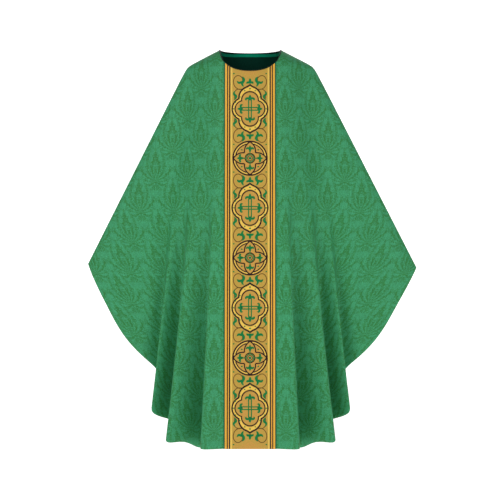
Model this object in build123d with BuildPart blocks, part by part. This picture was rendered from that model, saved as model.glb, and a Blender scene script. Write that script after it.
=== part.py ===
"""A lined chasuble: a sleeveless outer vestment that hangs from the wearer's shoulders and arms.

The cloth follows one hollow form of mirrored quarters, joined along the shoulder line and open
below it. A net of lines lies on the form: lines run down from the neckline to the hem, and rows cross
them. Every piece is a block of the net's cells between two depths into the cloth, so neighbouring
pieces share their corners and faces exactly. +Z is up, the front faces -Y, and the origin is the
middle of the neck opening, level with the two points where the shoulder line meets the neck. Left
and right are the wearer's, so left is +X. All sizes are in millimetres.
"""

from build123d import *

import os
from math import cos, exp, hypot, pi, sqrt

# Overall form
garment_length = 1257.0  # neck level down to the hem at the centre
tip_half_span = 525.0  # centre line to the tip of each wing
tip_drop = 688.0  # neck level down to the tips
wing_half_depth = 50.0  # centre plane to the cloth over the arm
hem_reach = 0.56  # how far in from the tip the hem reaches the bottom, as a share of the half span
hem_rounding = 0.05

# Neck and shoulders
neck_margin = 14.5  # braid to the corner of the neck
neck_half_depth = 92.0
front_neck_drop = 75.0
back_neck_drop = 3.0
neck_squareness = 2.3  # 2 is an ellipse, and more is squarer
shoulder_run = 107.0  # neck to the corner of the shoulder, across
shoulder_slope = 0.5  # fall per unit of width between neck and shoulder
shoulder_rounding = 6.0

# Body of the cloth, from the centre plane to the cloth at the centre line
chest_fullness = 40.0
chest_fall = 180.0
flare = 0.055  # depth gained per unit of fall
body_half_breadth = 330.0  # centre line to where the body meets the wing, at the hem
body_taper = 150.0  # how much narrower that is at the neck
body_fall = 400.0
neck_blend_fall = 110.0  # fall over which the neck's depth eases into the wing's

# Folds in the skirt, which hang from the elbows and grow towards the hem
fold_top = 450.0
fold_run = 750.0  # fall over which the folds grow to their full depth
fold_depth = 22.0

# Cloth and trimming
panel_thickness = 1.6
interlining_thickness = 1.0
lining_thickness = 1.0
orphrey_thickness = 1.4
orphrey_half_width = 78.0
braid_width = 3.5
braid_thickness = 2.0
binding_height = 4.0
neck_facing_height = 8.0
interlining_inset = 5.0  # how far the interlining stops short of the orphrey's edge
hem_facing_height = 25.0
lining_hem_rise = 12.0
stay_tape_half_width = 8.0

# Lines of the net beyond the orphrey: how far each lies from the braid towards the shoulder line,
# and how far it stands out from the plain form as a share of the fold depth. Crests are positive.
outer_lines = (
    (0.08, 0.3),
    (0.16, 1.0),
    (0.25, -0.9),
    (0.33, 0.8),
    (0.42, -0.8),
    (0.49, 0.6),
    (0.58, -0.3),
    (0.71, 0.0),
    (0.85, 0.0),
)
middle_rows = 13  # rows between the neck facing and the hem facing
row_crowding = 2.0  # how much closer the rows lie near the neck


# Sizes that follow from those
neck_half_width = orphrey_half_width + braid_width + neck_margin
shoulder_half_width = neck_half_width + shoulder_run
interlining_half_width = orphrey_half_width - interlining_inset

# How deep each cloth face lies below the face of the panels, from the outside in
panel_back = panel_thickness
lining_face = panel_back + interlining_thickness
lining_back = lining_face + lining_thickness
layer_depths = (-braid_thickness, -orphrey_thickness, 0.0, panel_back, lining_face, lining_back)


def softest(first, second, rounding):
    """The smaller of two values, with their crossing rounded off."""
    return (first + second - sqrt((first - second) ** 2 + 4 * rounding**2)) / 2


def form_half_width(fall):
    """Centre line to the shoulder line at a distance below the neck."""
    shoulder_fall = shoulder_slope * (shoulder_half_width - neck_half_width)
    arm_spread = (tip_half_span - shoulder_half_width) / (tip_drop - shoulder_fall)
    shoulder = neck_half_width + fall / shoulder_slope
    arm = tip_half_span + arm_spread * (fall - tip_drop)
    return softest(shoulder, arm, shoulder_rounding)


def form_depth(x, fall):
    """Centre plane to the plain form, at a place seen from the front."""
    drop = max(fall, 0.0)
    across = min(x / form_half_width(fall), 1.0)
    wing = wing_half_depth + (neck_half_depth - wing_half_depth) * exp(-drop / neck_blend_fall)
    middle = neck_half_depth + chest_fullness * (1 - exp(-drop / chest_fall)) + flare * drop
    edge = body_half_breadth - body_taper * exp(-drop / body_fall)
    beyond = min(max((x - orphrey_half_width) / (edge - orphrey_half_width), 0.0), 1.0)
    body = (1 - across**6) * cos(beyond * pi / 2) ** 2
    return wing * sqrt(1 - across**2) + (middle - wing) * body


def crossing(height, low, high):
    """Where a rising function of the fall passes through zero."""
    for _ in range(50):
        middle = (low + high) / 2
        if height(middle) < 0:
            low = middle
        else:
            high = middle
    return (low + high) / 2


braid_edge = orphrey_half_width + braid_width
inner_lines = (0.0, interlining_half_width / 2, interlining_half_width, orphrey_half_width, braid_edge)
interlining_line = 2
orphrey_line = 3
braid_line = 4
tape_line = braid_line + len(outer_lines) + 1
shoulder_line = tape_line + 1


def line_x(line, fall):
    """Centre line to a line of the net."""
    if line <= braid_line:
        return inner_lines[line]
    half_width = form_half_width(fall)
    if line == shoulder_line:
        return half_width
    if line == tape_line:
        return half_width * sqrt(1 - (stay_tape_half_width / wing_half_depth) ** 2)
    return braid_edge + (half_width - braid_edge) * outer_lines[line - braid_line - 1][0]


def neckline_fall(x, neck_drop):
    """Neck level down to the neckline, which is a quarter of a squared ellipse."""
    across = min(x / neck_half_width, 1.0)
    return neck_drop * (1 - across**neck_squareness) ** (1 / neck_squareness)


def hem_fall(x):
    """Neck level down to the hem: a slope in from the tip, rounded into a level bottom."""
    sloping = (1 - x / tip_half_span) / hem_reach
    return tip_drop + (garment_length - tip_drop) * softest(sloping, 1.0, hem_rounding)


def line_falls(line, neck_drop):
    """How far down a line each row crosses it."""
    def spread(fall):
        return hypot(1.0, line_x(line, fall + 0.5) - line_x(line, fall - 0.5))

    top = crossing(lambda fall: fall - neckline_fall(line_x(line, fall), neck_drop), 0.0, neck_drop)
    hem = crossing(lambda fall: fall - hem_fall(line_x(line, fall)), tip_drop / 2, garment_length + 1)
    first = top + (binding_height + neck_facing_height) / spread(top)
    last = hem - hem_facing_height / spread(hem)
    falls = [top, top + binding_height / spread(top)]
    for row in range(middle_rows + 1):
        falls.append(first + (last - first) * (row / middle_rows) ** row_crowding)
    return falls + [hem - lining_hem_rise / spread(hem), hem]


# Rows of the net that pieces end on
neck_row = 0
binding_row = 1
facing_row = 2
hem_facing_row = facing_row + middle_rows
lining_hem_row = hem_facing_row + 1
hem_row = lining_hem_row + 1
neck_drops = {"front": front_neck_drop, "back": back_neck_drop}
net_falls = {
    face: [line_falls(line, neck_drop) for line in range(shoulder_line + 1)]
    for face, neck_drop in neck_drops.items()
}


def net_corner(face, line, row, depth):
    """A corner of the net. Lines left of the centre are positive, and lines right of it negative."""
    fall = net_falls[face][abs(line)][row]
    x = line_x(abs(line), fall)
    step = 0.05
    if abs(line) == shoulder_line:
        y = 0.0
        normal = Vector(1, 0, (form_half_width(fall + step) - form_half_width(fall - step)) / 2 / step)
    else:
        y = form_depth(x, fall)
        across = (form_depth(abs(x + step), fall) - form_depth(abs(x - step), fall)) / 2 / step
        down = (form_depth(x, fall + step) - form_depth(x, fall - step)) / 2 / step
        normal = Vector(-across, 1, down)
    stands_out = 0.0
    if braid_line < abs(line) < tape_line:
        grown = min(max((fall - fold_top) / fold_run, 0.0), 1.0)
        stands_out = fold_depth * grown * outer_lines[abs(line) - braid_line - 1][1]
    corner = Vector(x, y, -fall) + normal.normalized() * (stands_out - depth)
    side = 1 if line >= 0 else -1
    way = -1 if face == "front" else 1
    return Vector(side * corner.X, way * corner.Y, corner.Z)


def cloth_piece(stops, rows, outer, inner, closed=False):
    """A solid of the net's cells along a list of (face, line) stops and between two rows, from one
    depth into the cloth to another. Every cell is two flat triangles on each side. The rim between
    the two sides is divided wherever another layer begins, so that pieces meet it face to face."""
    count = len(stops)
    top, bottom = rows
    depths = [outer] + [depth for depth in layer_depths if outer < depth < inner] + [inner]
    net = {
        depth: [[net_corner(*stop, row, depth) for stop in stops] for row in range(top, bottom + 1)]
        for depth in depths
    }
    spans = []
    for i in range(count if closed else count - 1):
        k = (i + 1) % count
        spans.append((i, k) if abs(stops[i][1]) < abs(stops[k][1]) else (k, i))
    triangles = []
    for i, k in spans:
        for j in range(bottom - top):
            for sheet in (net[outer], net[inner]):
                triangles.append((sheet[j][i], sheet[j][k], sheet[j + 1][k]))
                triangles.append((sheet[j][i], sheet[j + 1][k], sheet[j + 1][i]))
    rims = [(j, i, j, k) for i, k in spans for j in (0, bottom - top)]
    if not closed:
        rims += [(j, i, j + 1, i) for j in range(bottom - top) for i in (0, count - 1)]
    for j, i, m, k in rims:
        for above, below in zip(depths, depths[1:]):
            triangles.append((net[above][j][i], net[above][m][k], net[below][m][k]))
            triangles.append((net[above][j][i], net[below][m][k], net[below][j][i]))
    return Solid(Shell([Face(Wire.make_polygon(corners)) for corners in triangles]))


os.makedirs("parts", exist_ok=True)

for face in ("front", "back"):
    full_width = [(face, line) for line in range(-shoulder_line, shoulder_line + 1)]

    for side, way in (("left", 1), ("right", -1)):
        half_width = [(face, way * line) for line in range(shoulder_line + 1)]

        # Main panel, seamed down the centre under the orphrey and along the shoulder
        with BuildPart() as panel:
            add(cloth_piece(half_width, (binding_row, hem_row), 0, panel_back))
        panel.part.label = f"{face}_panel_{side}"
        export_step(panel.part, f"parts/{face}_panel_{side}.step")

        # Lining, from the neck facing down to just above the hem
        with BuildPart() as lining:
            add(cloth_piece(half_width, (facing_row, lining_hem_row), lining_face, lining_back))
        lining.part.label = f"{face}_lining_{side}"
        export_step(lining.part, f"parts/{face}_lining_{side}.step")

        # Edging braid along one side of the orphrey
        with BuildPart() as braid:
            edge = half_width[orphrey_line : braid_line + 1]
            add(cloth_piece(edge, (binding_row, hem_row), -braid_thickness, 0))
        braid.part.label = f"{face}_orphrey_braid_{side}"
        export_step(braid.part, f"parts/{face}_orphrey_braid_{side}.step")

    # Orphrey, the woven band down the middle
    with BuildPart() as orphrey:
        band = [(face, line) for line in range(-orphrey_line, orphrey_line + 1)]
        add(cloth_piece(band, (binding_row, hem_row), -orphrey_thickness, 0))
    orphrey.part.label = f"{face}_orphrey"
    export_step(orphrey.part, f"parts/{face}_orphrey.step")

    # Interlining that stiffens the panels behind the orphrey
    with BuildPart() as interlining:
        band = [(face, line) for line in range(-interlining_line, interlining_line + 1)]
        add(cloth_piece(band, (binding_row, hem_facing_row), panel_back, lining_face))
    interlining.part.label = f"{face}_orphrey_interlining"
    export_step(interlining.part, f"parts/{face}_orphrey_interlining.step")

    # Neck facing, from the binding down to the lining
    with BuildPart() as neck_facing:
        add(cloth_piece(full_width, (binding_row, facing_row), lining_face, lining_back))
    neck_facing.part.label = f"{face}_neck_facing"
    export_step(neck_facing.part, f"parts/{face}_neck_facing.step")

    # Hem facing, inside the panels' lower edge
    with BuildPart() as hem_facing:
        add(cloth_piece(full_width, (hem_facing_row, hem_row), panel_back, lining_face))
    hem_facing.part.label = f"{face}_hem_facing"
    export_step(hem_facing.part, f"parts/{face}_hem_facing.step")

# Stay tapes inside the shoulder seams, from the neck binding out to the hem facing
for side, way in (("left", 1), ("right", -1)):
    over_seam = [("front", way * tape_line), ("front", way * shoulder_line), ("back", way * tape_line)]
    with BuildPart() as stay_tape:
        add(cloth_piece(over_seam, (binding_row, hem_facing_row), panel_back, lining_face))
    stay_tape.part.label = f"{side}_shoulder_stay_tape"
    export_step(stay_tape.part, f"parts/{side}_shoulder_stay_tape.step")

# Binding over the raw edges of every layer around the neck, in one length
around_front = [("front", line) for line in range(-shoulder_line, shoulder_line + 1)]
around_back = [("back", line) for line in range(shoulder_line - 1, -shoulder_line, -1)]
with BuildPart() as neck_binding:
    neck_edge = around_front + around_back
    add(cloth_piece(neck_edge, (neck_row, binding_row), -orphrey_thickness, lining_back, closed=True))
neck_binding.part.label = "neck_binding"
export_step(neck_binding.part, "parts/neck_binding.step")
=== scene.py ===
"""A lined damask chasuble with a woven orphrey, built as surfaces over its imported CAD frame.

The cloth is one smooth surface of two parameters: across, from the centre line to the shoulder seam, and
fall, from the neck down to the hem. Every piece is a part of that surface between two depths into the
cloth. Lengths are in metres, the front faces -Y, and left and right are the wearer's, so left is +X.
"""

import bpy
import numpy as np
from bpy.props import FloatProperty, IntProperty, PointerProperty, StringProperty
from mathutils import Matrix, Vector


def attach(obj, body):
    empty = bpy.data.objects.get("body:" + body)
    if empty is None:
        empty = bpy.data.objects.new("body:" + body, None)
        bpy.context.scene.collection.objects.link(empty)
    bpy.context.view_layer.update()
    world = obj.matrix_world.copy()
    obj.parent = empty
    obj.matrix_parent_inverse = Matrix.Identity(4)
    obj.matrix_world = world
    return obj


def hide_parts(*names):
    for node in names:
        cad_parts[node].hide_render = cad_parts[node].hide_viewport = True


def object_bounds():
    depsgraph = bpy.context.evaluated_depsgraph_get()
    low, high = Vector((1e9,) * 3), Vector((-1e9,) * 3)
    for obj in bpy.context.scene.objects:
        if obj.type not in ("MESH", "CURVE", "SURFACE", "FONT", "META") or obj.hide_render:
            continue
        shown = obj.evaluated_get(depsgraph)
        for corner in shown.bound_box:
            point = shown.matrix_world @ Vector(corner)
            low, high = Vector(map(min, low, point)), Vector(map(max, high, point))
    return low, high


bl_info = {
    "name": "Damask chasuble",
    "version": (1, 0, 0),
    "blender": (4, 5, 0),
    "location": "3D View > Sidebar > Chasuble",
    "description": "Builds a lined damask chasuble with woven orphreys over its CAD frame",
    "category": "Add Mesh",
}

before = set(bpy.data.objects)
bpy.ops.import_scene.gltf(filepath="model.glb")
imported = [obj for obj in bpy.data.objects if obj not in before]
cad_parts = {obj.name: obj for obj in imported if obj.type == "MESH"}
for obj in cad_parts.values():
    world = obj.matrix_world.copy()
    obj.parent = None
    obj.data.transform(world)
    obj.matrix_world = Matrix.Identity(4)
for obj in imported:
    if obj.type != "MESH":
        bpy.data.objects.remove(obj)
cad_low, cad_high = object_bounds()
SIDES = {"left": 1, "right": -1}
FACES = {"front": -1, "back": 1}


# ---------------------------------------------------------------------------
# Sizes and colours
# ---------------------------------------------------------------------------


def size(name, about, default, **limits):
    """A length in metres."""
    return FloatProperty(name=name, description=about, default=default, unit="LENGTH", precision=4, **limits)


def ratio(name, about, default, **limits):
    """A plain number."""
    return FloatProperty(name=name, description=about, default=default, **limits)


def thread(name, about, default):
    """A dyed colour, as the sRGB hex value a dyer's card would give."""
    return StringProperty(name=name, description=about, default=default, maxlen=7)


class ChasubleForm(bpy.types.PropertyGroup):
    """The overall form of the hanging cloth."""

    garment_length: size("Garment length", "Neck level down to the hem at the centre", -cad_low.z)
    tip_half_span: size("Tip half span", "Centre line to the tip of each wing", cad_high.x)
    tip_drop: size("Tip drop", "Neck level down to the tips", 0.688)
    tip_skew: ratio("Tip skew", "How much wider the left side hangs than plain, as a share", 0.008)
    tip_lag: size("Tip lag", "How much lower the left tip hangs than the middle of the two", 0.006)
    neck_half_width: size("Neck half width", "Centre line to where neck and shoulder meet", 0.096)
    neck_half_depth: size("Neck half depth", "Centre plane to the neckline at the centre", 0.092)
    front_neck_drop: size("Front neck drop", "Neck level down to the neckline in front", 0.075)
    back_neck_drop: size("Back neck drop", "Neck level down to the neckline behind", 0.0005)
    neck_squareness: ratio("Neck squareness", "2 is an ellipse, and more is squarer", 2.3, min=1.0)
    shoulder_half_width: size("Shoulder half width", "Centre line to the corner of the shoulder", 0.203)
    shoulder_slope: ratio("Shoulder slope", "Fall per unit of width from neck to shoulder", 0.5, min=0.1)
    shoulder_rounding: size("Shoulder rounding", "How softly the shoulder turns into the arm", 0.006)
    wing_half_depth: size("Wing half depth", "Centre plane to the cloth over the arm", 0.050)
    chest_fullness: size("Chest fullness", "How much further out the cloth stands at the chest", 0.040)
    chest_fall: size("Chest fall", "Fall over which that fullness grows", 0.180)
    flare: ratio("Flare", "Depth gained per unit of fall", 0.055)
    body_half_breadth: size("Body half breadth", "Centre line to where body meets wing, at the hem", 0.330)
    body_taper: size("Body taper", "How much narrower that is at the neck", 0.150)
    body_fall: size("Body fall", "Fall over which the body widens", 0.400)
    neck_blend_fall: size("Neck blend fall", "Fall over which the neck eases into the wing", 0.110)


class ChasubleFolds(bpy.types.PropertyGroup):
    """How the skirt gathers into folds below the elbows."""

    top: size("Fold top", "Fall at which the folds start to form", 0.480)
    softness: ratio("Softness", "How gently the folds start, as a share of their run", 0.04, min=0.001)
    fullness: ratio("Fullness", "How fully the folds overlap at the hem, from 0 to 1", 1.0, min=0, max=1)
    drag: size("Drag", "Height of the soft waves that the hanging cloth drags between the arms", 0.0022)


class ChasubleTrim(bpy.types.PropertyGroup):
    """Cloth thicknesses, the orphrey and the other trimming."""

    panel_thickness: size("Panel thickness", "Thickness of the damask", 0.0016)
    interlining_thickness: size("Interlining thickness", "Thickness of the interlining", 0.0010)
    lining_thickness: size("Lining thickness", "Thickness of the lining", 0.0010)
    orphrey_thickness: size("Orphrey thickness", "Thickness of the woven band", 0.0014)
    orphrey_half_width: size("Orphrey half width", "Half the width of the woven band", 0.078)
    interlining_half_width: size("Interlining half width", "Half the width of the interlining", 0.073)
    braid_width: size("Braid width", "Width of the narrow braid beside the orphrey", 0.0035)
    braid_thickness: size("Braid thickness", "How far the braid stands off the damask", 0.0020)
    binding_height: size("Binding height", "Height of the rolled binding around the neck", 0.0040)
    neck_facing_height: size("Neck facing height", "Height of the strip inside the neck", 0.008)
    hem_facing_height: size("Hem facing height", "Height of the strip inside the hem", 0.025)
    lining_hem_rise: size("Lining hem rise", "How far the lining stops short of the hem", 0.012)
    stay_tape_half_width: size("Stay tape half width", "Half the width of the shoulder seam's tape", 0.008)
    motif_first: size("First medallion", "Neck level down to the middle of the first medallion", 0.1984)
    motif_repeat: size("Motif repeat", "From one medallion to the next", 0.3105)
    motif_count: IntProperty(
        name="Medallions", description="How many medallions the band shows", default=4, min=1
    )


class ChasubleColours(bpy.types.PropertyGroup):
    """Dyed colours of the cloths and threads; the lining and the binding also carry painted shade."""

    damask_ground: thread("Damask ground", "Matt ground of the green damask", "#3C9566")
    damask_figure: thread("Damask figure", "Satin figure of the green damask", "#2C793D")
    # The lining's teal is its own, and its darkness is painted shade: the shade inside the garment.
    lining: thread("Lining", "Plain lining", "#00382B")
    facing: thread("Facing", "Taffeta strips inside neck and hem", "#00A078")
    braid: thread("Braid", "Narrow braid beside the orphrey", "#00604A")
    # The binding's dark green is painted nearly black for the shade along the neck edge.
    binding: thread("Binding", "Rolled neck binding", "#03241A")
    canvas: thread("Canvas", "Interlining and stay tapes", "#C9BFA6")
    gold_field: thread("Gold field", "Field of the orphrey", "#BE9C3C")
    gold_warm: thread("Warm gold", "Warmer threads in the field", "#D69646")
    gold_bright: thread("Bright gold", "Stripes along the orphrey", "#EBAE36")
    gold_pale: thread("Pale gold", "Bands between the outlines", "#E8C154")
    maroon: thread("Maroon", "Outlines and stripes", "#1E0710")
    leaf: thread("Leaf green", "Crosses and leaves", "#04753A")
    stem: thread("Stem", "Fine scrolling stems", "#5A4218")
    backdrop: thread("Backdrop", "Floor and backdrop of the studio", "#F4F4F4")


# ---------------------------------------------------------------------------
# The cloth surface
# ---------------------------------------------------------------------------

# How far the cut edge of damask and hem facing stops short of the fold of the hem, in metres
HEM_ALLOWANCE = 0.0008

# The folds, as places across the cloth from the braid (0) to the shoulder seam (1). For each: how far the
# hem end moves sideways and outwards from the plain form, in metres. A crest stands furthest from the
# centre plane, and the valley after it turns back behind it, so each fold overlaps the next.
FOLD_PLACES = np.array([
    (0.000, 0.000, 0.000),  # braid
    (0.124, -0.018, 0.040),  # first crest
    (0.204, -0.092, -0.014),  # its valley
    (0.332, -0.057, 0.104),  # second crest
    (0.388, -0.124, -0.004),
    (0.460, -0.092, 0.066),  # third crest
    (0.531, -0.172, -0.040),
    (0.570, -0.146, -0.016),  # where the wing begins
    (0.620, -0.104, 0.002),
    (0.740, -0.040, 0.001),
    (0.870, -0.005, 0.000),
    (1.000, 0.000, 0.000),  # shoulder seam
])
# How far the hem rises above the centre of the garment at places across, in metres.
HEM_PLACES = np.array([
    (0.000, 0.000),  # braid
    (0.124, 0.002),  # first crest
    (0.190, 0.000),
    (0.236, -0.005),  # lowest place, inside the first fold
    (0.256, 0.010),
    (0.295, 0.015),
    (0.332, 0.026),  # second crest
    (0.388, 0.066),
    (0.460, 0.112),  # third crest
    (0.531, 0.216),
    (0.620, 0.313),  # foot of the wing
    (0.740, 0.419),
    (0.870, 0.501),
    (1.000, 0.565),  # tip
])


def spline(knots, values, at, clamped=True):
    """The cubic spline through values at knots, read at the places in at. Its second derivatives solve the
    usual tridiagonal system, with level ends if clamped and straight ends if not."""
    gap, rise = np.diff(knots), np.diff(values)
    count = len(knots)
    system, load = np.zeros((count, count)), np.zeros(count)
    inner = np.arange(1, count - 1)
    system[inner, inner - 1], system[inner, inner + 1] = gap[:-1], gap[1:]
    system[inner, inner] = 2 * (gap[:-1] + gap[1:])
    load[inner] = 6 * np.diff(rise / gap)
    system[0, 0], system[-1, -1] = 2 * gap[0], 2 * gap[-1]
    if clamped:
        system[0, 1], system[-1, -2] = gap[0], gap[-1]
        load[0], load[-1] = 6 * rise[0] / gap[0], -6 * rise[-1] / gap[-1]
    bend = np.linalg.solve(system, load)
    i = np.clip(np.searchsorted(knots, at, side="right") - 1, 0, count - 2)
    step, ahead, behind = gap[i], knots[i + 1] - at, at - knots[i]
    return (
        (bend[i] * ahead**3 + bend[i + 1] * behind**3) / (6 * step)
        + (values[i] / step - bend[i] * step / 6) * ahead
        + (values[i + 1] / step - bend[i + 1] * step / 6) * behind
    )


def unit(vectors):
    """Vectors divided by their own lengths."""
    return vectors / np.maximum(np.linalg.norm(vectors, axis=-1, keepdims=True), 1e-12)


def softest(first, second, rounding):
    """The smaller of two values, with their crossing rounded: their mean less half the root of their
    difference squared plus four times the rounding squared."""
    return (first + second - np.sqrt((first - second) ** 2 + 4 * rounding**2)) / 2


class Cloth:
    """The hanging cloth, from the scene's sizes. Places across it run from 0 at the centre line to 1 at the
    outer edge of the braid and 2 at the shoulder seam, negative on the wearer's right."""

    def __init__(self, scene):
        self.form, self.folds, self.trim = scene.chasuble_form, scene.chasuble_folds, scene.chasuble_trim
        self.braid_edge = self.trim.orphrey_half_width + self.trim.braid_width
        self.lining_face = self.trim.panel_thickness + self.trim.interlining_thickness
        self.lining_back = self.lining_face + self.trim.lining_thickness

    def half_width(self, fall):
        """Centre line to the shoulder seam: the smaller of the shoulder's line and the arm's line."""
        form = self.form
        corner_fall = form.shoulder_slope * (form.shoulder_half_width - form.neck_half_width)
        spread = (form.tip_half_span - form.shoulder_half_width) / (form.tip_drop - corner_fall)
        shoulder = form.neck_half_width + fall / form.shoulder_slope
        return softest(shoulder, form.tip_half_span + spread * (fall - form.tip_drop), form.shoulder_rounding)

    def plain_x(self, across, fall):
        """Sideways place on the plain form: in step with the braid inside it, and in proportion outside."""
        share = np.clip(np.abs(across) - 1, 0, 1)
        inside = np.minimum(np.abs(across), 1) * self.braid_edge
        return inside + share * (self.half_width(fall) - self.braid_edge)

    def plain_depth(self, x, fall):
        """Centre plane to the plain form: an ellipse over the arms, and a body that stands out of it in a
        cosine-squared swell that widens towards the hem."""
        form, drop = self.form, np.maximum(fall, 0)
        over = np.minimum(x / self.half_width(fall), 1)
        wing = form.wing_half_depth + (form.neck_half_depth - form.wing_half_depth) * np.exp(
            -drop / form.neck_blend_fall
        )
        middle = form.neck_half_depth + form.chest_fullness * (1 - np.exp(-drop / form.chest_fall))
        middle = middle + form.flare * drop
        edge = form.body_half_breadth - form.body_taper * np.exp(-drop / form.body_fall)
        half = self.trim.orphrey_half_width
        beyond = np.clip((x - half) / (edge - half), 0, 1)
        body = (1 - over**6) * np.cos(beyond * np.pi / 2) ** 2
        return wing * np.sqrt(1 - over**2) + (middle - wing) * body

    def face_point(self, across, fall, face):
        """A point on the outer face. The folds add their sideways and outward moves, times a power of how
        far down the skirt the point is; a share of the skew widens the left side."""
        form, folds = self.form, self.folds
        share, side = np.clip(np.abs(across) - 1, 0, 1), np.sign(across)
        run = (fall - folds.top) / (form.garment_length - folds.top)
        run = (run + np.sqrt(run**2 + folds.softness**2)) / 2
        x = self.plain_x(across, fall)
        y = self.plain_depth(x, fall)
        gathered = folds.fullness * run ** (0.35 + 1.4 * share)
        x = x + gathered * spline(FOLD_PLACES[:, 0], FOLD_PLACES[:, 1], share)
        y = y + folds.fullness * run**1.1 * spline(FOLD_PLACES[:, 0], FOLD_PLACES[:, 2], share)
        # The dragged waves are deepest 0.42 m down, between the elbows, and fade over 0.26 m
        dragged = np.sin(np.pi * share) ** 2 * np.exp(-(((fall - 0.42) / 0.26) ** 2))
        y = y + folds.drag * dragged * np.sin(2 * np.pi * (2.6 * share + 1.1 * fall + 0.17 * side))
        widened = np.clip(share / 0.3, 0, 1)
        x = x * (1 + form.tip_skew * side * widened**2 * (3 - 2 * widened))
        return np.stack([side * x, FACES[face] * y, -fall], axis=-1)

    def point(self, across, fall, face, under=0.0):
        """A point at a distance under the outer face, along the face's normal, which is the cross product
        of two central differences, turned away from the garment's centre plane."""
        across, fall, under = np.broadcast_arrays(across, fall, under)
        step, drop = 1e-5, 1e-5
        over = self.face_point(np.clip(across + step, -2, 2), fall, face)
        over = over - self.face_point(np.clip(across - step, -2, 2), fall, face)
        down = self.face_point(across, fall + drop, face) - self.face_point(across, fall - drop, face)
        normal = unit(np.cross(over, down) * FACES[face])
        return self.face_point(across, fall, face) - normal * under[..., None]

    def spread(self, across, fall):
        """How much longer a line down the cloth is than its fall."""
        lean = (self.plain_x(across, fall + 1e-4) - self.plain_x(across, fall - 1e-4)) / 2e-4
        return np.hypot(1, lean)

    def neckline(self, across, face, further=0.0):
        """Fall of the neckline, a quarter of a squared ellipse, found by halving; then further down."""
        drop = self.form.front_neck_drop if face == "front" else self.form.back_neck_drop
        power = self.form.neck_squareness
        low, high = np.zeros(np.shape(across)), np.full(np.shape(across), drop)
        for _ in range(40):
            middle = (low + high) / 2
            over = np.minimum(self.plain_x(across, middle) / self.form.neck_half_width, 1)
            above = middle < drop * (1 - over**power) ** (1 / power)
            low, high = np.where(above, middle, low), np.where(above, high, middle)
        return low + further / self.spread(across, low)

    def hem(self, across, shorter=0.0):
        """Fall of the hem at places across, then shorter by a distance up the cloth."""
        share = np.clip(np.abs(across) - 1, 0, 1)
        fall = self.form.garment_length - spline(HEM_PLACES[:, 0], HEM_PLACES[:, 1], share, clamped=False)
        fall = fall + self.form.tip_lag * np.sign(across) * share**4
        return fall - shorter / self.spread(across, fall)

    def columns(self, low, high, fine=1.0):
        """Places across from low to high, closest together in the folds and at the shoulder seam."""
        inner = np.linspace(0, 1, max(3, int(12 * fine)), endpoint=False)
        folds = 1 + np.linspace(0, 0.6, int(98 * fine), endpoint=False)
        wing = 1.6 + 0.4 * np.sin(np.linspace(0, np.pi / 2, int(44 * fine)))
        half = np.concatenate([inner, folds, wing])
        every = np.unique(np.concatenate([-half, half, [low, high]]))
        return every[(every >= low) & (every <= high)]

    def laid_out(self, across, fall, face):
        """Distance along the cloth from the centre line, at level: the lengths between places across, summed
        at even levels down the cloth, and read between those levels."""
        gap = 0.01
        levels = np.arange(0, self.form.garment_length + 3 * gap, gap)
        points = self.face_point(*np.meshgrid(across, levels), face)
        lengths = np.linalg.norm(np.diff(points, axis=1), axis=-1)
        along = np.concatenate([np.zeros((len(levels), 1)), np.cumsum(lengths, axis=1)], axis=1)
        along = along - along[:, [np.abs(across).argmin()]]
        level = np.clip(fall / gap, 0, len(levels) - 1.001)
        above, column = level.astype(int), np.arange(len(across))
        past = level - above
        return along[above, column] * (1 - past) + along[above + 1, column] * past

    def strip(self, across, face, top, bottom, rows, outer, inner, crowd=1.0):
        """A closed thin sheet of the cloth between two falls and two depths. It returns the loop of rows
        around it, with its upper and lower edges rounded, and the flat place of every point: the distance
        along the cloth from the centre line, and the fall."""
        down = np.linspace(0, 1, rows)[:, None] ** crowd
        fall = top + (bottom - top) * down
        across = np.broadcast_to(across, fall.shape)
        face_rows = self.point(across, fall, face, outer)
        back_rows = self.point(across, fall, face, inner)
        middle = (face_rows + back_rows) / 2
        reach = abs(inner - outer) / 2

        def rounded(edge, before):
            return middle[edge] + reach * unit(middle[edge] - middle[before])

        loop = np.concatenate([face_rows, rounded(-1, -2)[None], back_rows[::-1], rounded(0, 1)[None]])
        flat = np.stack([self.laid_out(across[0], fall, face), -fall], axis=-1)
        flat = np.concatenate([flat, flat[-1:], flat[::-1], flat[:1]])
        return loop, flat


# ---------------------------------------------------------------------------
# Meshes
# ---------------------------------------------------------------------------


def loop_faces(rows, columns, round_trip):
    """Quads of a grid that closes on itself down its rows. Across, it closes if it makes a round trip, and
    otherwise each open side is capped by quads between the two halves of its loop."""
    number = np.arange(rows * columns).reshape(rows, columns)
    below = np.roll(number, -1, axis=0)
    here, ahead = (number, np.roll(number, -1, axis=1)) if round_trip else (number[:, :-1], number[:, 1:])
    under, under_ahead = (below, np.roll(below, -1, axis=1)) if round_trip else (below[:, :-1], below[:, 1:])
    faces = [np.stack([here, ahead, under_ahead, under], axis=-1).reshape(-1, 4)]
    if not round_trip:
        half = (rows - 1) // 2
        pair = np.arange(half)
        for column, turn in ((0, 1), (columns - 1, -1)):
            side = number[:, column]
            cap = np.stack([side[pair], side[pair + 1], side[-2 - pair - 1], side[-2 - pair]], axis=-1)
            faces.append(cap[:, ::turn])
    return np.concatenate(faces)


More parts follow.
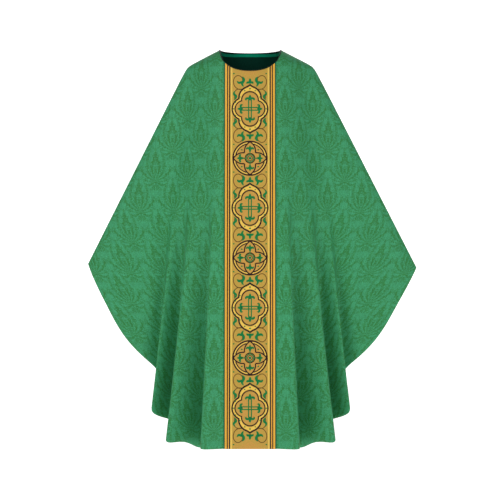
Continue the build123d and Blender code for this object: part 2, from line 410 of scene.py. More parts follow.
def make_piece(name, points, faces, material, nodes, flat=None, sharp=0.9):
    """A mesh object at the origin, with outward faces, its flat cloth places as its UV map, and its corners
    sharper than the given angle left crisp. It rides on the body and stands for its CAD nodes."""
    points = points.reshape(-1, 3)
    a, b, c, d = (points[faces[:, i]] for i in range(4))
    inside_out = (np.cross(b - a, c - a) * a + np.cross(c - a, d - a) * a).sum() < 0
    faces = faces[:, ::-1] if inside_out else faces
    listed = [tuple(dict.fromkeys(face)) for face in faces.tolist()]
    mesh = bpy.data.meshes.new(name)
    mesh.from_pydata(points.tolist(), [], [face for face in listed if len(face) > 2])
    if flat is not None:
        corners = np.empty(len(mesh.loops), np.int32)
        mesh.loops.foreach_get("vertex_index", corners)
        mesh.uv_layers.new(name="Cloth").data.foreach_set(
            "uv", flat.reshape(-1, 2)[corners].astype(np.float32).ravel()
        )
    mesh.materials.append(material)
    mesh.shade_smooth()
    mesh.set_sharp_from_angle(angle=sharp)
    if mesh.validate(verbose=False):
        raise RuntimeError(f"{name}: the mesh had faces that could not be used")
    piece = bpy.data.objects.new(name, mesh)
    bpy.context.scene.collection.objects.link(piece)
    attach(piece, "root")
    if nodes:
        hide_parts(*nodes)
    return piece


def cloth_piece(cloth, name, face, low, high, top, bottom, outer, inner, material, nodes, slot, **options):
    """A thin sheet of the cloth as a piece: the grid of Cloth.strip, closed by loop_faces."""
    rows, crowd = options.get("rows", 160), options.get("crowd", 1.5)
    across = cloth.columns(low, high, options.get("fine", 1.0))
    loop, flat = cloth.strip(across, face, top(across), bottom(across), rows, outer, inner, crowd)
    faces = loop_faces(loop.shape[0], loop.shape[1], False)
    return make_piece(name, loop, faces, material, nodes, flat)


# ---------------------------------------------------------------------------
# Woven figures
# ---------------------------------------------------------------------------


def arc(x, y, radius, start, end, count=24):
    """Points along a circle's arc, with its angles in degrees."""
    angle = np.radians(np.linspace(start, end, count))
    return np.stack([x + radius * np.cos(angle), y + radius * np.sin(angle)], axis=1)


def ring(radius, width, count):
    """A line round the middle. The circle's points stop one step short, and the closed line joins them."""
    return stroke(arc(0, 0, radius, 0, 360 - 360 / count, count), width, True)


def curve(points, count=24):
    """A smooth line through points: a spline of each coordinate over the distance along them."""
    points = np.array(points, float)
    along = np.concatenate([[0], np.cumsum(np.linalg.norm(np.diff(points, axis=0), axis=1))])
    at = np.linspace(0, along[-1], count)
    return np.stack([spline(along, points[:, i], at, clamped=False) for i in (0, 1)], axis=1)


def stroke(path, width, closed=False):
    """Two edges of a line of a given width: the path moved both ways along its normal, which is its central
    difference turned a quarter."""
    if closed:
        ahead = np.roll(path, -1, axis=0) - np.roll(path, 1, axis=0)
    else:
        ahead = np.gradient(path, axis=0)
    ahead = unit(ahead)
    normal = np.stack([-ahead[:, 1], ahead[:, 0]], axis=1)
    half = np.broadcast_to(width, len(path))[:, None] / 2
    return path + normal * half, path - normal * half, closed


def leaf(points, width, count=16, blunt=0.6):
    """A tapered line: its width is a power of the sine over its length."""
    path = curve(points, count)
    return stroke(path, 0.12 * width + 0.88 * width * np.sin(np.linspace(0.02, np.pi - 0.02, count)) ** blunt)


def dot(x, y, radius, count=9):
    """A round dot: a short line whose width is a circle's chord."""
    angle = np.linspace(0.12, np.pi - 0.12, count)
    path = np.stack([x - radius * np.cos(angle), np.full(count, y)], axis=1)
    return stroke(path, 2 * radius * np.sin(angle))


def turned(shape, x_sign=1, y_sign=1, swap=False):
    """A figure mirrored left to right, top to bottom, or across the diagonal. Its edges keep their order."""
    one, two, closed = shape
    if swap:
        one, two = one[:, ::-1], two[:, ::-1]
    flip = np.array([x_sign, y_sign])
    one, two = one * flip, two * flip
    return (two, one, closed) if (x_sign * y_sign < 0) != swap else (one, two, closed)


def all_ways(shapes, ways=((1, 1), (-1, 1), (1, -1), (-1, -1))):
    """Each figure in its mirrored places."""
    return [turned(shape, *way) for shape in shapes for way in ways]


def outline(quarter):
    """A closed line from its right upper quarter, mirrored round."""
    right = np.concatenate([quarter, (quarter * (-1, 1))[::-1][1:]])
    return np.concatenate([right, (right * (1, -1))[::-1][1:-1]])


def fleur_up():
    """One flowered end of the upright of the cross: a petal and two curling arms."""
    petal = leaf([(0, 26), (0, 34), (0, 44)], 10.5)
    arm = leaf([(0.5, 29), (4.5, 32.6), (9.4, 33.4), (13.0, 30.2), (11.8, 26.8)], 8.4, blunt=0.45)
    return all_ways([petal], ((1, 1), (1, -1))) + all_ways([arm])


def fleur_side():
    """One flowered end of the bar of the cross."""
    petal = leaf([(22, 0), (30, 0), (38.5, 0)], 10.5)
    arm = leaf([(24.5, 0.5), (28.0, 4.4), (29.0, 9.0), (26.2, 12.6), (22.8, 11.6)], 8.4, blunt=0.45)
    return all_ways([petal], ((1, 1), (-1, 1))) + all_ways([arm])


def medallion():
    """The pointed quatrefoil with its cross and scrolls, in millimetres from its middle, by thread."""
    outer = outline(np.concatenate([
        arc(20.5, 0, 35, 0, 66, 26), arc(0, 36, 34.6, -4, 54, 22),
        curve([(18.6, 65.6), (13.0, 68.4), (6.2, 71.8), (0, 76.4)], 12),
    ]))
    inner = outline(np.concatenate([
        arc(20.5, 0, 26, 0, 76, 26), arc(0, 28, 26.2, -7, 60, 22), arc(0, 28, 26.2, 63, 90, 12)
    ]))
    stem = curve([
        (16.5, 66.6), (24.5, 62.6), (33.0, 61.9), (45.3, 68.6), (51.4, 82.0), (49.6, 96.6), (39.0, 105.6),
        (27.6, 101.6), (23.4, 91.0), (28.6, 83.2), (36.0, 86.0)
    ], 56)
    second = curve([(27.0, 62.2), (40.5, 61.2), (46.9, 55.2), (49.0, 44.0), (48.2, 33.0)], 20)
    return {
        "maroon": [stroke(outer, 5.6, True), stroke(inner, 4.4, True)],
        "pale": [(outer + (inner - outer) * 0.13, inner + (outer - inner) * 0.13, True)],
        "stem": all_ways([stroke(stem, 3.0), stroke(second, 2.8)]),
        "leaf": (
            fleur_up() + fleur_side()
            + all_ways([stroke(curve([(4.3, -29), (4.3, 0), (4.3, 29)], 12), 4.4)], ((1, 1), (-1, 1)))
            + all_ways([stroke(curve([(-25, 4.1), (0, 4.1), (25, 4.1)], 12), 4.2)], ((1, 1), (1, -1)))
            + all_ways([leaf([(0, 79.5), (0, 87), (0, 96.5)], 10.0)], ((1, 1), (1, -1)))
            + all_ways([leaf([(0.3, 80.6), (4.0, 83.6), (8.2, 83.0), (9.6, 79.6)], 8.4, blunt=0.4)])
            + all_ways([
                leaf([(24.4, 101.8), (18.9, 92.2), (24.6, 80.6), (20.0, 70.6)], 10.5),
                leaf([(40.2, 88.4), (34.6, 82.6), (28.4, 84.4), (22.4, 87.0)], 8.8),
                leaf([(46.6, 57.0), (50.0, 46.4), (43.8, 40.6), (49.6, 28.4)], 9.0),
                dot(50.6, 112.0, 2.6), dot(16.4, 57.4, 2.4), dot(31.4, 37.6, 2.4), dot(45.2, 21.0, 2.4),
            ])
            + all_ways([dot(0, 64.0, 3.0)], ((1, 1), (1, -1)))
            + all_ways([dot(51.0, 0, 2.4)], ((1, 1), (-1, 1)))
        ),
    }


def roundel():
    """The circle with four flowered petals, in millimetres from its middle, by thread."""
    petal = stroke(curve([(0, 51.6), (6.4, 46.6), (12.8, 38.6), (16.6, 28.6), (17.2, 17.2)], 22), 4.6)
    fleur = [leaf([(0, 19), (0, 28), (0, 40)], 9.8), stroke(curve([(0, 14), (0, 18), (0, 22)], 6), 3.6)]
    arm = leaf([(0.3, 26.5), (4.2, 30.6), (8.8, 31.4), (11.8, 27.6)], 8.0, blunt=0.4)
    inner_arc = [stroke(arc(0, 0, 45.6, 14, 76, 30), 4.2)]
    band = [(arc(0, 0, 46.6, 9, 81, 30), arc(0, 0, 51.5, 9, 81, 30), False)]
    return {
        "maroon": (
            [ring(52.9, 5.6, 72), ring(15.0, 3.8, 72), ring(7.4, 2.4, 36)]
            + all_ways([petal, turned(petal, swap=True)]) + all_ways(inner_arc)
        ),
        "pale": all_ways(band),
        "stem": [],
        "leaf": (
            [ring(11.4, 3.8, 48), dot(0, 0, 4.6)]
            + all_ways(fleur, ((1, 1), (1, -1)))
            + all_ways([turned(shape, swap=True) for shape in fleur], ((1, 1), (-1, 1)))
            + all_ways([arm, turned(arm, swap=True)]) + all_ways([dot(25.6, 26.4, 2.8)])
        ),
    }


def figures_piece(cloth, face, thread_name, lift, material, name):
    """All the figures of one thread on one orphrey, as low closed ridges on its face. Each ridge has four
    points across: two edges just in the band, and two shoulders standing proud of it by the lift."""
    trim = cloth.trim
    points, faces, flats, start = [], [], [], 0
    rooted = 0.0003  # how far a ridge's edges lie inside the band
    medallions, roundels = medallion()[thread_name], roundel()[thread_name]
    for index in range(2 * trim.motif_count - 1):
        middle = trim.motif_first + index / 2 * trim.motif_repeat
        for one, two, closed in roundels if index % 2 else medallions:
            section = np.stack([one, one * 0.84 + two * 0.16, one * 0.16 + two * 0.84, two]) / 1000
            place, fall = section[..., 0], middle + section[..., 1]
            under = np.array([rooted, -lift, -lift, rooted])[:, None] - trim.orphrey_thickness
            points.append(cloth.point(place / cloth.braid_edge, fall, face, under).reshape(-1, 3))
            flats.append(np.stack([place, -fall], axis=-1).reshape(-1, 2))
            number = start + np.arange(place.size).reshape(place.shape)
            start += place.size
            ahead = np.roll(number, -1, axis=1) if closed else number[:, 1:]
            here = number[:, : ahead.shape[1]]
            quads = np.stack([here, ahead, np.roll(ahead, -1, axis=0), np.roll(here, -1, axis=0)], axis=-1)
            faces.append(quads.reshape(-1, 4))
            if not closed:
                faces.append(np.array([number[:, 0], number[::-1, -1]]))
    return make_piece(
        name, np.concatenate(points), np.concatenate(faces), material, [],
        np.concatenate(flats), sharp=1.2,
    )


# ---------------------------------------------------------------------------
# Materials
# ---------------------------------------------------------------------------


# Places of the colour sockets on a Mix node, which has a pair of inputs and an output for each kind of data
MIX_A, MIX_B, MIX_RESULT = 6, 7, 2


def linear(hex_value):
    """An sRGB hex value as linear red, green, blue and full alpha."""
    parts = np.array([int(hex_value[i : i + 2], 16) for i in (1, 3, 5)]) / 255
    parts = np.where(parts <= 0.04045, parts / 12.92, ((parts + 0.055) / 1.055) ** 2.4)
    return (*parts.tolist(), 1.0)


def add_node(material, kind, links=None, values=None, **settings):
    """Adds a node to a material, with its settings, its input values, and links into its inputs."""
    node = material.node_tree.nodes.new(kind)
    for key, value in settings.items():
        setattr(node, key, value)
    for key, value in (values or {}).items():
        node.inputs[key].default_value = value
    for key, (source, output) in (links or {}).items():
        material.node_tree.links.new(source.outputs[output], node.inputs[key])
    return node


def new_material(name):
    """An empty node material and its output node."""
    material = bpy.data.materials.new(name)
    material.use_nodes = True
    material.node_tree.nodes.clear()
    return material, add_node(material, "ShaderNodeOutputMaterial")


def finish_material(material, output, shader):
    """Links a shader to the material's output."""
    material.node_tree.links.new(shader.outputs[0], output.inputs["Surface"])
    return material


def damask_material(colours):
    """Woven silk-blend damask: a satin figure on a matt ground of the same yarn, on a Jacquard loom. The
    figure reads darker and smoother, and both have fine upright yarn streaks and a soft sheen."""
    material, output = new_material("green jacquard damask")
    uv = add_node(material, "ShaderNodeUVMap", uv_map="Cloth")
    split = add_node(material, "ShaderNodeSeparateXYZ", {"Vector": (uv, "UV")})
    half_x, half_y = 0.056, 0.0975  # half the repeat of the figure across and down, metres
    math = "ShaderNodeMath"
    xa = add_node(material, math, {0: (split, "X")}, {1: half_x}, operation="PINGPONG")
    xb = add_node(material, math, {1: (xa, 0)}, {0: half_x}, operation="SUBTRACT")
    ya = add_node(material, math, {0: (split, "Y")}, {1: half_y, 2: -half_y}, operation="WRAP")
    moved = add_node(material, math, {0: (split, "Y")}, {1: half_y}, operation="ADD")
    yb = add_node(material, math, {0: (moved, 0)}, {1: half_y, 2: -half_y}, operation="WRAP")
    up = add_node(material, math, {0: (ya, 0)}, operation="ABSOLUTE")
    far_x = add_node(material, math, {0: (xa, 0)}, {1: half_x}, operation="DIVIDE")
    far = add_node(material, math, {0: (up, 0), 2: (far_x, 0)}, {1: 1 / half_y}, operation="MULTIPLY_ADD")
    first = add_node(material, math, {0: (far, 0)}, {1: 1.0}, operation="LESS_THAN")
    fold_x = add_node(material, "ShaderNodeMix", {"Factor": (first, 0), "A": (xb, 0), "B": (xa, 0)})
    fold_y = add_node(material, "ShaderNodeMix", {"Factor": (first, 0), "A": (yb, 0), "B": (ya, 0)})
    # Distance from the middle of the lozenge: 0 there and 1 at its edges
    other = add_node(material, math, {1: (far, 0)}, {0: 2.0}, operation="SUBTRACT")
    spot = add_node(material, "ShaderNodeMix", {"Factor": (first, 0), "A": (other, 0), "B": (far, 0)})
    place = add_node(material, "ShaderNodeCombineXYZ", {"X": (fold_x, "Result"), "Y": (fold_y, "Result")})
    # Leafwork: mirrored, distorted noise with leaves about 7 mm across
    leafwork = add_node(
        material, "ShaderNodeTexNoise", {"Vector": (place, 0)},
        {"Scale": 150.0, "Detail": 3.0, "Roughness": 0.62, "Distortion": 1.8}, noise_dimensions="2D",
    )
    # A palmette in each lozenge: eleven petals to the half turn, fanned out of a point 30 mm below its middle
    rise = add_node(material, math, {0: (fold_y, "Result")}, {1: 0.030}, operation="ADD")
    lean = add_node(material, math, {0: (fold_x, "Result"), 1: (rise, 0)}, operation="ARCTAN2")
    fan = add_node(material, math, {0: (lean, 0), 2: (leafwork, "Fac")}, {1: 11.0}, operation="MULTIPLY_ADD")
    bent = add_node(material, math, {0: (spot, "Result"), 2: (fan, 0)}, {1: 9.0}, operation="MULTIPLY_ADD")
    petals = add_node(material, math, {0: (bent, 0)}, operation="COSINE")
    both = add_node(
        material, math, {0: (petals, 0), 2: (leafwork, "Fac")}, {1: 0.075}, operation="MULTIPLY_ADD"
    )
    # The heart of each lozenge is mostly figure, and its rim mostly ground
    heart = add_node(
        material, "ShaderNodeMapRange", {"Value": (spot, "Result")},
        {"From Min": 0.25, "From Max": 0.80, "To Min": 0.032, "To Max": -0.038},
        interpolation_type="SMOOTHSTEP",
    )
    weight = add_node(material, math, {0: (both, 0), 1: (heart, 0)}, operation="ADD")
    figure = add_node(
        material, "ShaderNodeMapRange", {"Value": (weight, 0)},
        {"From Min": 0.46, "From Max": 0.54, "To Min": 0.0, "To Max": 1.0}, interpolation_type="SMOOTHSTEP",
    )
    # Yarn streaks: 3 mm wide and 22 mm long, drawn coarser than the 0.3 mm yarns so that they show
    stretch = add_node(material, "ShaderNodeMapping", {"Vector": (uv, "UV")}, {"Scale": (330.0, 45.0, 1.0)})
    streaks = add_node(
        material, "ShaderNodeTexNoise", {"Vector": (stretch, 0)},
        {"Scale": 1.0, "Detail": 3.0, "Roughness": 0.65}, noise_dimensions="2D",
    )
    slub = add_node(
        material, "ShaderNodeTexNoise", {"Vector": (uv, "UV")},
        {"Scale": 260.0, "Detail": 2.0, "Roughness": 0.6}, noise_dimensions="2D",
    )
    shift = add_node(
        material, "ShaderNodeMapRange", {"Value": (streaks, "Fac")},
        {"From Min": 0.3, "From Max": 0.7, "To Min": 0.87, "To Max": 1.12},
    )
    speckle = add_node(
        material, "ShaderNodeMapRange", {"Value": (slub, "Fac")},
        {"From Min": 0.3, "From Max": 0.7, "To Min": 0.88, "To Max": 1.12},
    )
    tone = add_node(material, math, {0: (shift, 0), 1: (speckle, 0)}, operation="MULTIPLY")
    dyed = add_node(
        material, "ShaderNodeMix", {"Factor": (figure, 0)},
        {MIX_A: linear(colours.damask_ground), MIX_B: linear(colours.damask_figure)}, data_type="RGBA",
    )
    toned = add_node(
        material, "ShaderNodeVectorMath", {0: (dyed, MIX_RESULT), "Scale": (tone, 0)}, operation="SCALE"
    )
    gloss = add_node(
        material, "ShaderNodeMapRange", {"Value": (figure, 0)},
        {"From Min": 0.0, "From Max": 1.0, "To Min": 0.66, "To Max": 0.52},
    )
    height = add_node(material, math, {0: (figure, 0), 2: (slub, "Fac")}, {1: 0.6}, operation="MULTIPLY_ADD")
    relief = add_node(
        material, "ShaderNodeBump", {"Height": (height, 0)}, {"Strength": 0.35, "Distance": 0.0005}
    )
    shader = add_node(
        material, "ShaderNodeBsdfPrincipled",
        {"Base Color": (toned, 0), "Roughness": (gloss, 0), "Normal": (relief, 0)},
        {"Sheen Weight": 0.03, "Sheen Roughness": 0.5, "Specular IOR Level": 0.22},
    )
    return finish_material(material, output, shader)


def plain_weave_material(name, hex_value, roughness, yarn, streak=0.10, sheen=0.03):
    """Plain-woven or felted cloth: two crossed sets of yarns a given distance apart, with uneven dye, and
    with painted shade in the dips between the yarns. The yarns are drawn at the given spacing, coarser than
    real ones, so that they show close up."""
    material, output = new_material(name)
    uv = add_node(material, "ShaderNodeUVMap", uv_map="Cloth")
    weave = [
        add_node(
            material, "ShaderNodeTexWave", {"Vector": (uv, "UV")},
            {"Scale": 2 * np.pi / (20 * yarn), "Distortion": 0.4, "Detail": 1.0}, bands_direction=direction,
        )
        for direction in ("X", "Y")
    ]
    crossed = add_node(
        material, "ShaderNodeMath", {0: (weave[0], "Fac"), 1: (weave[1], "Fac")}, operation="MULTIPLY"
    )
    stretch = add_node(material, "ShaderNodeMapping", {"Vector": (uv, "UV")}, {"Scale": (240.0, 60.0, 1.0)})
    dye = add_node(
        material, "ShaderNodeTexNoise", {"Vector": (stretch, 0)},
        {"Scale": 1.0, "Detail": 3.0, "Roughness": 0.6}, noise_dimensions="2D",
    )
    tone = add_node(
        material, "ShaderNodeMapRange", {"Value": (dye, "Fac")},
        {"From Min": 0.3, "From Max": 0.7, "To Min": 1 - streak, "To Max": 1 + streak},
    )
    # Painted shade: the colour is darker in the dips between the crossed yarns and a little lighter on their
    # crowns.
    painted_yarn_shade = add_node(
        material, "ShaderNodeMapRange", {"Value": (crossed, 0)},
        {"From Min": 0.0, "From Max": 1.0, "To Min": 0.9, "To Max": 1.06},
    )
    both = add_node(material, "ShaderNodeMath", {0: (tone, 0), 1: (painted_yarn_shade, 0)}, operation="MULTIPLY")
    colour = add_node(
        material, "ShaderNodeVectorMath", {"Scale": (both, 0)}, {0: linear(hex_value)[:3]}, operation="SCALE"
    )
    relief = add_node(
        material, "ShaderNodeBump", {"Height": (crossed, 0)}, {"Strength": 0.3, "Distance": yarn * 0.3}
    )
    shader = add_node(
        material, "ShaderNodeBsdfPrincipled", {"Base Color": (colour, 0), "Normal": (relief, 0)},
        {"Roughness": roughness, "Sheen Weight": sheen, "Sheen Roughness": 0.5, "Specular IOR Level": 0.12},
    )
    return finish_material(material, output, shader)


def orphrey_material(colours, half_width, motif_first, motif_repeat):
    """Brocaded galloon: a rep-woven gold field flecked with warmer threads, and warp stripes along both
    edges. The stripes are read from the distance to the middle of the band."""
    material, output = new_material("gold brocade galloon")
    uv = add_node(material, "ShaderNodeUVMap", uv_map="Cloth")
    split = add_node(material, "ShaderNodeSeparateXYZ", {"Vector": (uv, "UV")})
    math = "ShaderNodeMath"
    off = add_node(material, math, {0: (split, "X")}, operation="ABSOLUTE")
    share = add_node(material, math, {0: (off, 0)}, {1: half_width}, operation="DIVIDE")
    stripes = add_node(material, "ShaderNodeValToRGB", {"Fac": (share, 0)})
    stripes.color_ramp.interpolation = "CONSTANT"
    # Where each stripe starts, as a share of the half width, and its thread
    field_edge = 0.708
    order = (
        (0.0, colours.gold_field), (field_edge, colours.gold_pale), (0.784, colours.maroon),
        (0.838, colours.gold_bright), (0.878, colours.maroon), (0.921, colours.gold_bright),
    )
    ramp = stripes.color_ramp.elements
    ramp.remove(ramp[1])
    ramp[0].color = linear(order[0][1])
    for start, hex_value in order[1:]:
        ramp.new(start).color = linear(hex_value)
    # Warmer flecks about 4 mm across, in the field only, and closer in the middle of each figure
    flecks = add_node(
        material, "ShaderNodeTexNoise", {"Vector": (uv, "UV")},
        {"Scale": 240.0, "Detail": 2.0, "Roughness": 0.7}, noise_dimensions="2D",
    )
    along = add_node(material, math, {0: (split, "Y")}, {1: motif_first}, operation="ADD")
    beside = add_node(material, math, {0: (along, 0)}, {1: motif_repeat / 4}, operation="PINGPONG")
    shorter = add_node(material, math, {0: (beside, 0)}, {1: 0.8}, operation="MULTIPLY")
    spot = add_node(material, "ShaderNodeCombineXYZ", {"X": (off, 0), "Y": (shorter, 0)})
    reach = add_node(material, "ShaderNodeVectorMath", {0: (spot, 0)}, operation="LENGTH")
    closer = add_node(
        material, "ShaderNodeMapRange", {"Value": (reach, "Value")},
        {"From Min": 0.030, "From Max": 0.052, "To Min": 0.10, "To Max": -0.04},
        interpolation_type="SMOOTHSTEP",
    )
    thicker = add_node(material, math, {0: (flecks, "Fac"), 1: (closer, 0)}, operation="ADD")
    warm = add_node(
        material, "ShaderNodeMapRange", {"Value": (thicker, 0)},
        {"From Min": 0.46, "From Max": 0.62, "To Min": 0.0, "To Max": 0.7},
    )
    field = add_node(material, math, {0: (share, 0)}, {1: field_edge}, operation="LESS_THAN")
    warm_field = add_node(material, math, {0: (warm, 0), 1: (field, 0)}, operation="MULTIPLY")
    gold = add_node(
        material, "ShaderNodeMix", {"Factor": (warm_field, 0), MIX_A: (stripes, "Color")},
        {MIX_B: linear(colours.gold_warm)}, data_type="RGBA",
    )
    # Rep ribs across the band, drawn 1.6 mm apart so that they show, and broken by the warp
    ribs = add_node(
        material, "ShaderNodeTexWave", {"Vector": (uv, "UV")},
        {"Scale": 2 * np.pi / (20 * 0.0016), "Distortion": 0.8, "Detail": 1.0}, bands_direction="Y",
    )
    grain = add_node(material, "ShaderNodeMapping", {"Vector": (uv, "UV")}, {"Scale": (900.0, 220.0, 1.0)})
    warp = add_node(
        material, "ShaderNodeTexNoise", {"Vector": (grain, 0)},
        {"Scale": 1.0, "Detail": 2.0, "Roughness": 0.6}, noise_dimensions="2D",
    )
    woven = add_node(material, math, {0: (ribs, "Fac"), 1: (warp, "Fac")}, operation="MULTIPLY")
    # Painted shade: the tone is darker in the troughs between the ribs, and it varies at random along the
    # warp.
    tone = add_node(
        material, "ShaderNodeMapRange", {"Value": (woven, 0)},
        {"From Min": 0.0, "From Max": 0.6, "To Min": 0.80, "To Max": 1.10},
    )
    colour = add_node(
        material, "ShaderNodeVectorMath", {0: (gold, MIX_RESULT), "Scale": (tone, 0)}, operation="SCALE"
    )
    relief = add_node(
        material, "ShaderNodeBump", {"Height": (woven, 0)}, {"Strength": 0.3, "Distance": 0.0004}
    )
    shader = add_node(
        material, "ShaderNodeBsdfPrincipled", {"Base Color": (colour, 0), "Normal": (relief, 0)},
        {"Roughness": 0.5, "Metallic": 0.12, "Sheen Weight": 0.1, "Specular IOR Level": 0.35},
    )
    return finish_material(material, output, shader)


def thread_material(name, hex_value, roughness, metallic=0.0):
    """Floated brocading weft: short parallel threads lying across the band, with small breaks in tone."""
    material, output = new_material(name)
    uv = add_node(material, "ShaderNodeUVMap", uv_map="Cloth")
    lie = add_node(material, "ShaderNodeMapping", {"Vector": (uv, "UV")}, {"Scale": (260.0, 1300.0, 1.0)})
    threads = add_node(
        material, "ShaderNodeTexNoise", {"Vector": (lie, 0)},
        {"Scale": 1.0, "Detail": 2.0, "Roughness": 0.6}, noise_dimensions="2D",
    )
    tone = add_node(
        material, "ShaderNodeMapRange", {"Value": (threads, "Fac")},
        {"From Min": 0.3, "From Max": 0.7, "To Min": 0.82, "To Max": 1.16},
    )
    colour = add_node(
        material, "ShaderNodeVectorMath", {"Scale": (tone, 0)}, {0: linear(hex_value)[:3]}, operation="SCALE"
    )
    relief = add_node(
        material, "ShaderNodeBump", {"Height": (threads, 0)}, {"Strength": 0.3, "Distance": 0.0002}
    )
    shader = add_node(
        material, "ShaderNodeBsdfPrincipled", {"Base Color": (colour, 0), "Normal": (relief, 0)},
        {"Roughness": roughness, "Metallic": metallic, "Sheen Weight": 0.02, "Specular IOR Level": 0.2},
    )
    return finish_material(material, output, shader)


def studio_material(hex_value):
    """Matt painted studio backdrop: smooth, nearly white, faintly mottled by the roller."""
    material, output = new_material("matt white backdrop paint")
    place = add_node(material, "ShaderNodeTexCoord")
    mottle = add_node(
        material, "ShaderNodeTexNoise", {"Vector": (place, "Object")}, {"Scale": 1.5, "Detail": 2.0}
    )
    tone = add_node(
        material, "ShaderNodeMapRange", {"Value": (mottle, "Fac")}, {"To Min": 0.99, "To Max": 1.01}
    )
    colour = add_node(
        material, "ShaderNodeVectorMath", {"Scale": (tone, 0)}, {0: linear(hex_value)[:3]}, operation="SCALE"
    )
    shader = add_node(
        material, "ShaderNodeBsdfPrincipled", {"Base Color": (colour, 0)},
        {
            "Roughness": 0.9, "Specular IOR Level": 0.1, "Emission Color": (1, 1, 1, 1),
            "Emission Strength": 0.80,
        },
    )
    return finish_material(material, output, shader)


# ---------------------------------------------------------------------------
# Operators
# ---------------------------------------------------------------------------


def material_named(name, maker, *values):
    """A material made once and shared afterwards."""
    return bpy.data.materials.get(name) or maker(*values)


# The plain-woven cloths: colour setting, roughness, and distance between yarns in metres
PLAIN_CLOTHS = {
    "green polyester lining with painted shade": ("lining", 0.45, 0.0009),  # teal, painted dark for the shade inside the garment, and slippery
    "green taffeta facing": ("facing", 0.42, 0.0010),  # crisp, with a smooth gleam
    "green rayon braid": ("braid", 0.5, 0.0012),  # tightly twisted
    "green bias binding with painted shade": ("binding", 0.55, 0.0010),  # dark green, painted nearly black for the shade along the neck edge
    "cotton canvas": ("canvas", 0.85, 0.0014),  # coarse, unbleached and matt
}


def plain_cloth(name, colours):
    """The material of one of the plain-woven cloths."""
    setting, roughness, yarn = PLAIN_CLOTHS[name]
    return material_named(name, plain_weave_material, name, getattr(colours, setting), roughness, yarn)


class CHASUBLE_OT_panels(bpy.types.Operator):
    """Builds the four damask panels, front and back, left and right"""

    bl_idname = "chasuble.panels"
    bl_label = "Damask panels"

    def execute(self, context):
        cloth, colours = Cloth(context.scene), context.scene.chasuble_colours
        damask = material_named("green jacquard damask", damask_material, colours)
        for face in FACES:
            for side, sign in SIDES.items():
                piece = cloth_piece(
                    cloth, f"{face}_damask_{side}", face, min(0, 2 * sign), max(0, 2 * sign),
                    lambda a: cloth.neckline(a, face, cloth.trim.binding_height * 0.5),
                    lambda a: cloth.hem(a, HEM_ALLOWANCE), 0, cloth.trim.panel_thickness, damask,
                    [f"{face}_panel_{side}"], "green_damask", rows=185,
                )
        return {"FINISHED"}


class CHASUBLE_OT_linings(bpy.types.Operator):
    """Builds the four pieces of the lining"""

    bl_idname = "chasuble.linings"
    bl_label = "Linings"

    def execute(self, context):
        cloth, colours = Cloth(context.scene), context.scene.chasuble_colours
        # The lining's colour is darkened for the shade inside the garment: painted shade.
        lining = plain_cloth("green polyester lining with painted shade", colours)
        trim = cloth.trim
        for face in FACES:
            for side, sign in SIDES.items():
                piece = cloth_piece(
                    cloth, f"{face}_lining_cloth_{side}", face, min(0, 2 * sign), max(0, 2 * sign),
                    lambda a: cloth.neckline(a, face, trim.binding_height + trim.neck_facing_height),
                    lambda a: cloth.hem(a, trim.lining_hem_rise), cloth.lining_face, cloth.lining_back,
                    lining, [f"{face}_lining_{side}"], "lining", rows=120, fine=0.75,
                )
        return {"FINISHED"}


class CHASUBLE_OT_orphreys(bpy.types.Operator):
    """Builds the woven gold band on the front and on the back"""

    bl_idname = "chasuble.orphreys"
    bl_label = "Orphreys"

    def execute(self, context):
        cloth, colours = Cloth(context.scene), context.scene.chasuble_colours
        trim = cloth.trim
        gold = material_named(
            "gold brocade galloon", orphrey_material, colours, trim.orphrey_half_width, trim.motif_first,
            trim.motif_repeat,
        )
        edge = trim.orphrey_half_width / cloth.braid_edge
        for face in FACES:
            piece = cloth_piece(
                cloth, f"{face}_orphrey_band", face, -edge, edge,
                lambda a: cloth.neckline(a, face, trim.binding_height * 0.5),
                lambda a: cloth.hem(a), -trim.orphrey_thickness, 0, gold,
                [f"{face}_orphrey"], "gold_orphrey", rows=300, fine=1.4, crowd=1.0,
            )
        return {"FINISHED"}


class CHASUBLE_OT_figures(bpy.types.Operator):
    """Builds the brocaded medallions, roundels, crosses and scrolls on both orphreys"""

    bl_idname = "chasuble.figures"
    bl_label = "Woven figures"

    def execute(self, context):
        cloth, colours = Cloth(context.scene), context.scene.chasuble_colours
        threads = {
            "pale": ("pale gold brocading thread", colours.gold_pale, 0.45, 0.1, 0.00012),
            "stem": ("bronze brocading thread", colours.stem, 0.6, 0.0, 0.00022),
            "maroon": ("maroon brocading thread", colours.maroon, 0.6, 0.0, 0.00032),
            "leaf": ("leaf green brocading thread", colours.leaf, 0.55, 0.0, 0.00038),
        }
        for face in FACES:
            for thread_name, (name, hex_value, roughness, metallic, lift) in threads.items():
                material = material_named(name, thread_material, name, hex_value, roughness, metallic)
                figures_piece(cloth, face, thread_name, lift, material, f"{face}_figures_{thread_name}")
        return {"FINISHED"}


